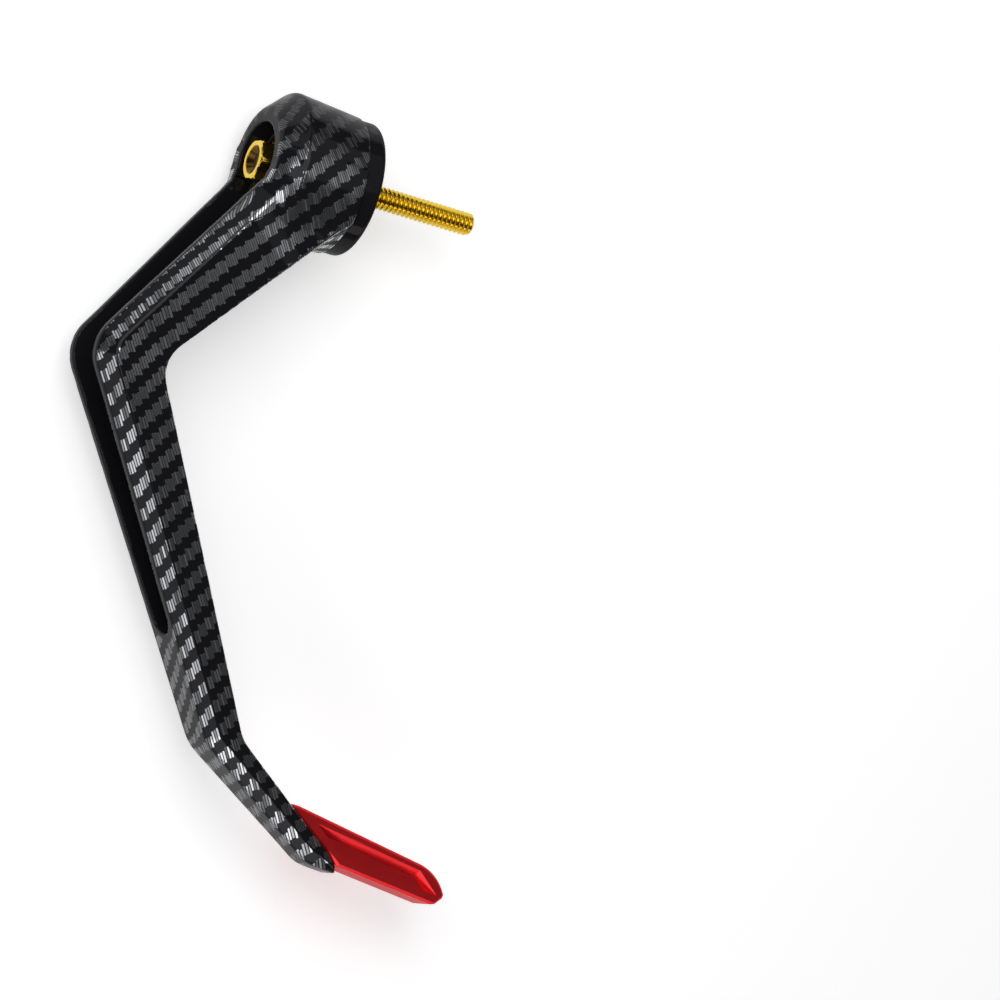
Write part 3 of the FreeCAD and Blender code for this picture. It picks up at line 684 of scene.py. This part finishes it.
def ring_material():
    """The arm's film on the ring, with the weave unrolled round the bolt's axis."""
    nodes = Nodes("ring_film")
    spot = nodes.split(nodes.place())
    x = nodes.math("DIVIDE", spot[0], MM)
    angle = nodes.math("ARCTAN2", spot[1], nodes.math("ABSOLUTE", spot[2]))
    y = nodes.math("MULTIPLY", angle, CREASE_RADIUS)
    across = nodes.math("DIVIDE", nodes.run(x, y, CROSS_WAY), COLUMN_WIDE)
    along = nodes.math("DIVIDE", nodes.run(x, y, FIBRE_WAY), REPEAT)
    column = nodes.math("ADD", across, RING_FIRST_COLUMN)
    repeat = nodes.math("ADD", along, FIRST_REPEAT)
    film = nodes.ramp(nodes.noise(RING_CLOUD), *RING_WEAR)
    film = nodes.math("MULTIPLY", film, nodes.math("LESS_THAN", x, RING_FILM_TO))
    return film_material(nodes, column, repeat, film, RING_COAT)


def bolt_material():
    """Gold plating, with a painted dark reflection in the dish: the part of the head that is near the axis.
    """
    nodes = Nodes("bolt_gold")
    cloud = nodes.noise(*GOLD_CLOUD)
    gold = nodes.mix(cloud, GOLD_DEEP, GOLD_PALE)
    spot = nodes.split(nodes.place())
    off_axis = nodes.math("POWER", spot[1], 2.0)
    off_axis = nodes.math("SQRT", nodes.math("ADD", off_axis, nodes.math("POWER", spot[2], 2.0)))
    # painted dark reflection: the dish near the axis turns dark brown
    dish = nodes.ramp(off_axis, DISH_RADIUS * MM, (DISH_RADIUS - DISH_FADE) * MM)
    in_head = nodes.math("LESS_THAN", spot[0], -(SEAT_DEPTH + DISH_ABOVE_SEAT) * MM)
    nodes.set(
        Base_Color=nodes.mix(nodes.math("MULTIPLY", dish, in_head), gold, DISH_PAINTED_DARK), Metallic=1.0,
        Roughness=nodes.blend(cloud, *GOLD_ROUGH))
    nodes.bump(cloud, *GOLD_BUMP)
    return nodes.material


def blade_material():
    """Red anodised metal, finely brushed."""
    nodes = Nodes("blade_red")
    brush = nodes.noise(*BRUSH)
    nodes.set(
        Base_Color=nodes.mix(nodes.noise(RED_CLOUD), RED_DEEP, RED_BRIGHT), Metallic=RED_METAL,
        Specular_Tint=RED_EDGE, Roughness=nodes.blend(brush, *RED_ROUGH))
    nodes.bump(brush, *BRUSH_BUMP)
    return nodes.material


def screw_material():
    """Dark steel, a little cloudy."""
    nodes = Nodes("screw_steel")
    cloud = nodes.noise(*STEEL_CLOUD)
    nodes.set(
        Base_Color=nodes.mix(cloud, STEEL_DARK, STEEL_PALE), Metallic=1.0,
        Roughness=nodes.blend(cloud, *STEEL_ROUGH))
    return nodes.material


# the arm

arm_points, arm_quads, arm_normals = arm_surface()
arm = mesh_piece("arm_film", arm_points, arm_quads, arm_normals)
weave = weave_of(arm_points)
weave_layer = arm.data.uv_layers.new(name="weave")
corner_points = np.zeros(len(arm.data.loops), np.int32)
arm.data.loops.foreach_get("vertex_index", corner_points)
weave_layer.data.foreach_set("uv", weave[corner_points].astype(np.float32).ravel())
arm_heights = arm_points[:, 2]
lip = pit_gap(Plan(arm_points[:, :2]), arm_heights) + np.where(arm_heights < 0, LOWER_LIP, 0.0)
# the layer of painted shade darkens the back of the head and the outer face by fading the weave
arm_layers = {"lip": lip, "painted_shade": film_painted_shade(arm_points), "crease": crease_gap(arm_points)}
for layer_name, values in arm_layers.items():
    layer = arm.data.attributes.new(layer_name, "FLOAT", "POINT")
    layer.data.foreach_set("value", values.astype(np.float32))
arm.data.materials.append(arm_material())
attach(arm, "root")
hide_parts("guard_arm")


# the bolt


def bolt_surface():
    """Points and quads of the bolt, as rings of points round its axis from the dished top to the tip.

    On the shank the radius falls from the crest by a rounded wave of the distance along the axis less
    the turn times the pitch, which is a helix. On the head the radius eases from a circle to a hexagon,
    whose radius is half the flats over the cosine of the angle from the nearest flat."""
    angle = np.linspace(0, 2 * math.pi, ROUND_STEPS, endpoint=False)
    sixth = math.pi / 3
    from_flat = (angle + sixth / 2) % sixth - sixth / 2
    hexagon = HEX_FLATS / 2 / np.cos(from_flat)
    hexagon = np.minimum(hexagon, HEX_FLATS / 2 / math.cos(sixth / 2) * HEX_CORNER_SHARE)
    circle = np.ones_like(angle)
    seat = -SEAT_DEPTH
    top = seat - HEAD_HEIGHT
    rings = [(top + deep, radius * circle) for deep, radius in DISH_PROFILE]
    rings += [(top + deep, np.minimum(hexagon, most)) for deep, most in CORNER_PROFILE]
    rings += [(seat - high, np.maximum(hexagon + more, least)) for high, more, least in FOOT_PROFILE]
    rings += [(seat - high, radius * circle) for high, radius in FLANGE_PROFILE]
    rings += [(0.0, SHANK_RADIUS * circle), (0.0, BOLT_RADIUS * circle)]
    for run in np.arange(THREAD_FIRST, BOLT_TIP, THREAD_PITCH / THREAD_STEPS):
        wave = (run / THREAD_PITCH - angle / (2 * math.pi)) % 1.0
        fall = np.clip(GROOVE_WIDTH - np.abs(2 * wave - 1) * GROOVE_SLOPE, 0, 1)
        fade = min(1.0, max(0.0, (run - THREAD_FIRST) / THREAD_PITCH))
        radius = BOLT_RADIUS - THREAD_DEPTH * fall * fade
        tip_limit = BOLT_RADIUS - TIP_CHAMFER + max(0.0, BOLT_TIP - run) * TIP_SLOPE
        rings.append((run, np.minimum(radius, tip_limit)))
    rings += [(BOLT_TIP, (BOLT_RADIUS - TIP_FACE) * circle), (BOLT_TIP, POLE_RADIUS * circle)]
    x = np.array([r[0] for r in rings])[:, None] * circle
    radius = np.array([r[1] for r in rings])
    points = np.stack([x, radius * np.cos(angle), radius * np.sin(angle)], 2).reshape(-1, 3)
    index = np.arange(len(rings) * ROUND_STEPS).reshape(len(rings), ROUND_STEPS)
    onward = np.roll(index, -1, axis=1)
    quads = np.stack([index[:-1], index[1:], onward[1:], onward[:-1]], 2).reshape(-1, 4)
    return points, quads[:, ::-1]


bolt = mesh_piece("gold_bolt", *bolt_surface())
bolt.data.set_sharp_from_angle(angle=math.radians(SHARP_ANGLE))
bolt.data.materials.append(bolt_material())
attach(bolt, "root")
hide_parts("mounting_bolt")


# the ring, the blade and its screws


def dress(node, material):
    """Gives a CAD node a better material in place of its plain one."""
    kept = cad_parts[node]
    if not kept.material_slots:
        kept.data.materials.append(material)
    for place in kept.material_slots:
        place.material = material


dress("bar_end_ring", ring_material())
dress("tip_blade", blade_material())
steel = screw_material()
dress("tip_screw_root", steel)
dress("tip_screw_toe", steel)


# floor, light and camera

FLOOR_LEVEL, FLOOR_HALF = -19.6 * MM, 3.0
FLOOR_WHITE, FLOOR_ROUGH, FLOOR_GLOW = (0.90, 0.90, 0.903, 1), 0.9, 0.41
SKY_TINT, SKY_LEVEL = (0.95, 0.97, 1.0, 1), 0.038
MIDDLE = Vector((-0.010, -0.080, 0.0))
# name, place from the guard's middle, width and height in metres, and level
LAMPS = (
    ("strip_left", (-0.66, -0.52, 0.36), 1.0, 0.42, 1.3),
    ("overhead", (-0.35, 0.20, 0.85), 0.9, 0.9, 2.5),
    ("top_soft", (0.09, 0.225, 0.26), 0.4, 0.34, 0.55),
    ("strip_back", (-0.55, 0.70, 0.30), 0.7, 0.3, 0.75),
    ("front_strip", (0.10, -0.92, 0.28), 1.3, 0.3, 2.1))
VIEW_RIGHT = (0.878773, 0.240473, 0.412227)
VIEW_UP = (-0.260304, 0.965492, -0.008312)
VIEW_BACK = (-0.400000, -0.100000, 0.911043)
VIEW_CENTRE = Vector((52.63, -66.80, 15.77)) * MM
VIEW_DISTANCE, VIEW_REACH = 4.0, 20.0
FRAME_WIDTH, SENSOR_WIDTH = 0.253, 36.0


def floor_material():
    """White floor that glows a little where it is seen, and still takes the shadow."""
    nodes = Nodes("floor_white")
    path = nodes.add("ShaderNodeLightPath").outputs
    seen = nodes.math("MAXIMUM", path["Is Camera Ray"], path["Is Glossy Ray"])
    seen = nodes.math("MAXIMUM", seen, path["Is Transmission Ray"])
    nodes.set(
        Base_Color=FLOOR_WHITE, Roughness=FLOOR_ROUGH, Specular_IOR_Level=0.0,
        Emission_Color=(1, 1, 1, 1), Emission_Strength=nodes.math("MULTIPLY", seen, FLOOR_GLOW))
    return nodes.material


def floor():
    """One flat square under the guard."""
    corners = np.array([(-1, -1), (1, -1), (1, 1), (-1, 1)]) * FLOOR_HALF / MM
    points = np.column_stack([corners, np.full(len(corners), FLOOR_LEVEL / MM)])
    made = mesh_piece("floor", points, np.array([[0, 1, 2, 3]]))
    made.data.materials.append(floor_material())


floor()

world = bpy.data.worlds.new("studio")
bpy.context.scene.world = world
world.use_nodes = True
sky = world.node_tree.nodes["Background"].inputs
sky["Color"].default_value = SKY_TINT
sky["Strength"].default_value = SKY_LEVEL


def lamp(name, place, width, height, level):
    """An area lamp aimed at the guard; level is its own brightness, 1 being white."""
    light = bpy.data.lights.new(name, "AREA")
    light.shape = "RECTANGLE"
    light.size, light.size_y = width, height
    light.energy = level * width * height * math.pi
    made = bpy.data.objects.new(name, light)
    made.location = MIDDLE + Vector(place)
    made.rotation_euler = (-Vector(place)).to_track_quat("-Z", "Y").to_euler()
    made.visible_camera = False
    bpy.context.scene.collection.objects.link(made)


for row in LAMPS:
    lamp(*row)

camera = bpy.data.objects.new("camera", bpy.data.cameras.new("camera"))
bpy.context.scene.collection.objects.link(camera)
turn = Matrix((VIEW_RIGHT, VIEW_UP, VIEW_BACK)).transposed().to_4x4()
turn.translation = VIEW_CENTRE + Vector(VIEW_BACK) * VIEW_DISTANCE
camera.matrix_world = turn
camera.data.sensor_width = SENSOR_WIDTH
camera.data.lens = SENSOR_WIDTH * VIEW_DISTANCE / FRAME_WIDTH
camera.data.clip_end = VIEW_REACH
bpy.context.scene.camera = camera
bpy.context.scene.view_settings.view_transform = "Standard"
